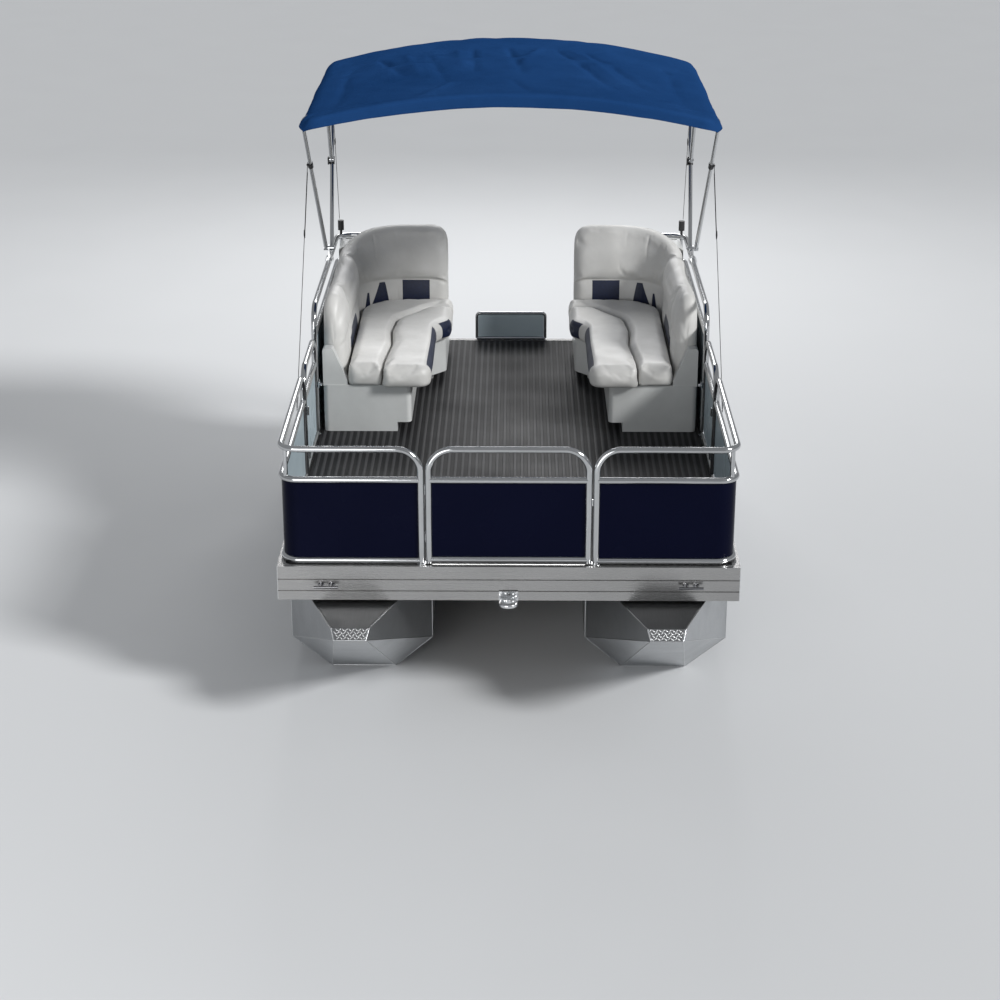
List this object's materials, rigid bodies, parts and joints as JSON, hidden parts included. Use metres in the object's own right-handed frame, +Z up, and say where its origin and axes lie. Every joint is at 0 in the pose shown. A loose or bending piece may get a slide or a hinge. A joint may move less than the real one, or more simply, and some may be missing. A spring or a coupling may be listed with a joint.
{
  "type": "pontoon boat",
  "caption": "Flat-decked pontoon boat with faceted twin hulls, railed fences with swinging gates, corner lounges and a folding sun canopy.",
  "frame": {"origin": "on the floor under the middle of the boat's length and width", "axes": "+Z up, the bow points to -Y, port is +X"},
  "size_m": [2.31, 4.2607, 2.8417],
  "materials": {
    "hull_metal": "bare rolled sheet",
    "frame_metal": "mill finish",
    "deck_wood": "sealed plywood",
    "floor_vinyl": "ribbed vinyl",
    "fascia_metal": "satin anodised",
    "rail_metal": "bright anodised",
    "panel_paint": "gloss dark blue",
    "bright_metal": "polished",
    "dark_plastic": "moulded",
    "seat_shell": "moulded",
    "seat_vinyl": "marine vinyl",
    "canopy_cloth": "woven acrylic",
    "webbing": "woven webbing",
    "pod_metal": "welded sheet"
  },
  "bodies": {
    "hull": {"pontoon_port": "hull_metal", "pontoon_starboard": "hull_metal", "nose_plates": "hull_metal", "deck_cross_beams": "frame_metal", "hull_risers": "frame_metal", "deck_board": "deck_wood", "deck_flooring": "floor_vinyl", "fascia_bow": "fascia_metal", "fascia_stern": "fascia_metal", "fascia_port": "fascia_metal", "fascia_starboard": "fascia_metal", "fascia_corner_caps": "bright_metal", "fence_bow_rails": "rail_metal", "fence_bow_panels": "panel_paint", "fence_stern_rails": "rail_metal", "fence_stern_panels": "panel_paint", "gate_knuckles": "bright_metal", "stern_splash_frame": "rail_metal", "stern_splash_panel": "panel_paint", "motor_pod": "pod_metal", "outboard_transom": "pod_metal", "tow_eye": "bright_metal", "mooring_cleats": "bright_metal", "lounge_base_port": "seat_shell", "lounge_base_starboard": "seat_shell", "seat_cushion_port": "seat_vinyl", "seat_cushion_starboard": "seat_vinyl", "backrest_port": "seat_vinyl", "backrest_starboard": "seat_vinyl", "canopy_rail_mounts": "bright_metal", "canopy_bow_rear": "rail_metal", "canopy_jaw_slides": "dark_plastic", "strap_anchor_studs": "bright_metal", "stern_strap_posts": "dark_plastic", "canopy_straps_rear": "webbing", "canopy": "canopy_cloth"},
    "bow_gate": {"gate_bow": "rail_metal", "gate_bow_panel": "panel_paint", "gate_bow_fittings": "bright_metal"},
    "port_gate": {"gate_port": "rail_metal", "gate_port_panel": "panel_paint", "gate_port_fittings": "bright_metal"},
    "starboard_gate": {"gate_starboard": "rail_metal", "gate_starboard_panel": "panel_paint", "gate_starboard_fittings": "bright_metal"},
    "front_bow": {"canopy_bow_front": "rail_metal", "canopy_strap_slides": "dark_plastic"},
    "middle_bow": {"canopy_bow_middle": "rail_metal"},
    "port_strap": {"canopy_strap_front_port": "webbing"},
    "starboard_strap": {"canopy_strap_front_starboard": "webbing"}
  },
  "joints": [
    {"name": "bow_gate_swing", "type": "hinge", "parent": "hull", "child": "bow_gate", "pos_m": [-0.41065, -1.745, 1.105], "axis": [0, 0, 1], "range_deg": [0, 95]},
    {"name": "port_gate_swing", "type": "hinge", "parent": "hull", "child": "port_gate", "pos_m": [1.095, -0.55635, 1.105], "axis": [0, 0, 1], "range_deg": [0, 90]},
    {"name": "starboard_gate_swing", "type": "hinge", "parent": "hull", "child": "starboard_gate", "pos_m": [-1.095, -0.55635, 1.105], "axis": [0, 0, -1], "range_deg": [0, 90]},
    {"name": "canopy_fold", "type": "hinge", "parent": "hull", "child": "front_bow", "pos_m": [0, 1.22, 1.635], "axis": [-1, 0, 0], "range_deg": [0, 60], "deforming": ["canopy"]},
    {"name": "middle_bow_fold", "type": "hinge", "parent": "hull", "child": "middle_bow", "pos_m": [0, 1.37454, 2.14846], "axis": [-1, 0, 0], "range_deg": [0, 49]},
    {"name": "port_strap_swing", "type": "hinge", "parent": "front_bow", "child": "port_strap", "pos_m": [1.15, 0.42667, 2.31978], "axis": [1, 0, 0], "range_deg": [0, 101.6]},
    {"name": "starboard_strap_swing", "type": "hinge", "parent": "front_bow", "child": "starboard_strap", "pos_m": [-1.15, 0.42667, 2.31978], "axis": [1, 0, 0], "range_deg": [0, 101.6]}
  ],
  "couplings": [
    {"joint": "middle_bow_fold", "follows": "canopy_fold", "ratio": 0.8166},
    {"joint": "port_strap_swing", "follows": "canopy_fold", "ratio": 1.692},
    {"joint": "starboard_strap_swing", "follows": "canopy_fold", "ratio": 1.692}
  ]
}
